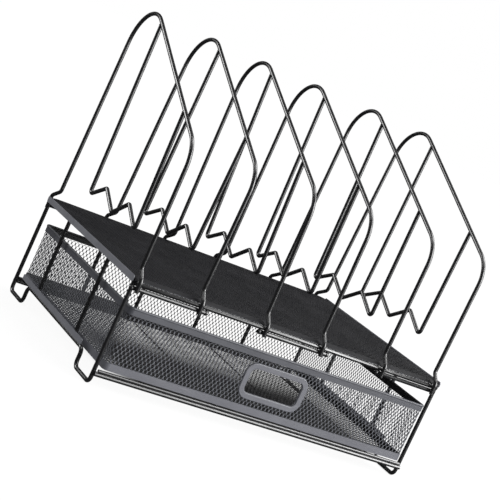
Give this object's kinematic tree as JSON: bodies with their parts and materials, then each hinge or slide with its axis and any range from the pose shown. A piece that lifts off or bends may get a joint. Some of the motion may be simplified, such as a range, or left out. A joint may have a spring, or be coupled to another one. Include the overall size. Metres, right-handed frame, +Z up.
{
  "type": "desk organizer with drawer",
  "caption": "Black steel-wire desk organizer: upright loops with wavy inner wires over a mesh shelf, and a mesh drawer with a finger hole sliding on a wire rack below.",
  "frame": {"origin": "on the desk, under the middle of the organizer", "axes": "+X to the right along the drawer front, +Y to the rear, away from the drawer's pull side, +Z up"},
  "size_m": [0.3578, 0.2678, 0.3213],
  "materials": {
    "black_wire": "gloss black powder coat on steel wire",
    "grey_steel": "satin dark grey coat on folded steel",
    "mesh_steel": "satin black coat on expanded steel mesh"
  },
  "bodies": {
    "frame": {"side_frame_left": "black_wire", "shelf_strip_left": "grey_steel", "base_strip_left": "grey_steel", "side_strut_left_front": "black_wire", "side_strut_left_rear": "black_wire", "side_frame_right": "black_wire", "shelf_strip_right": "grey_steel", "base_strip_right": "grey_steel", "side_strut_right_front": "black_wire", "side_strut_right_rear": "black_wire", "base_front_wire": "black_wire", "base_rear_wire": "black_wire", "rack_front_wire": "black_wire", "rack_rear_wire": "black_wire", "runner_1": "black_wire", "runner_2": "black_wire", "runner_3": "black_wire", "runner_4": "black_wire", "rear_strut_1": "black_wire", "rear_strut_2": "black_wire", "rear_strut_3": "black_wire", "rear_strut_4": "black_wire", "shelf_front_wire": "black_wire", "shelf_rear_wire": "black_wire", "shelf_sheet": "mesh_steel", "divider_loop_1": "black_wire", "divider_loop_2": "black_wire", "divider_loop_3": "black_wire", "divider_loop_4": "black_wire", "divider_loop_5": "black_wire", "divider_loop_6": "black_wire", "divider_wave_1": "black_wire", "divider_wave_2": "black_wire", "divider_wave_3": "black_wire", "divider_wave_4": "black_wire", "divider_wave_5": "black_wire", "divider_wave_6": "black_wire", "clip_front_1": "black_wire", "clip_front_2": "black_wire", "clip_front_3": "black_wire", "clip_rear_1": "black_wire", "clip_rear_2": "black_wire", "clip_rear_3": "black_wire"},
    "drawer": {"drawer_top_rim": "grey_steel", "drawer_bottom_rim": "grey_steel", "drawer_handle_frame": "grey_steel", "drawer_front_sheet": "mesh_steel", "drawer_rear_sheet": "mesh_steel", "drawer_left_sheet": "mesh_steel", "drawer_right_sheet": "mesh_steel", "drawer_floor_sheet": "mesh_steel"}
  },
  "joints": [
    {"name": "drawer_slide", "type": "slide", "parent": "frame", "child": "drawer", "axis": [0, -1, 0], "range_m": [0, 0.17]}
  ]
}
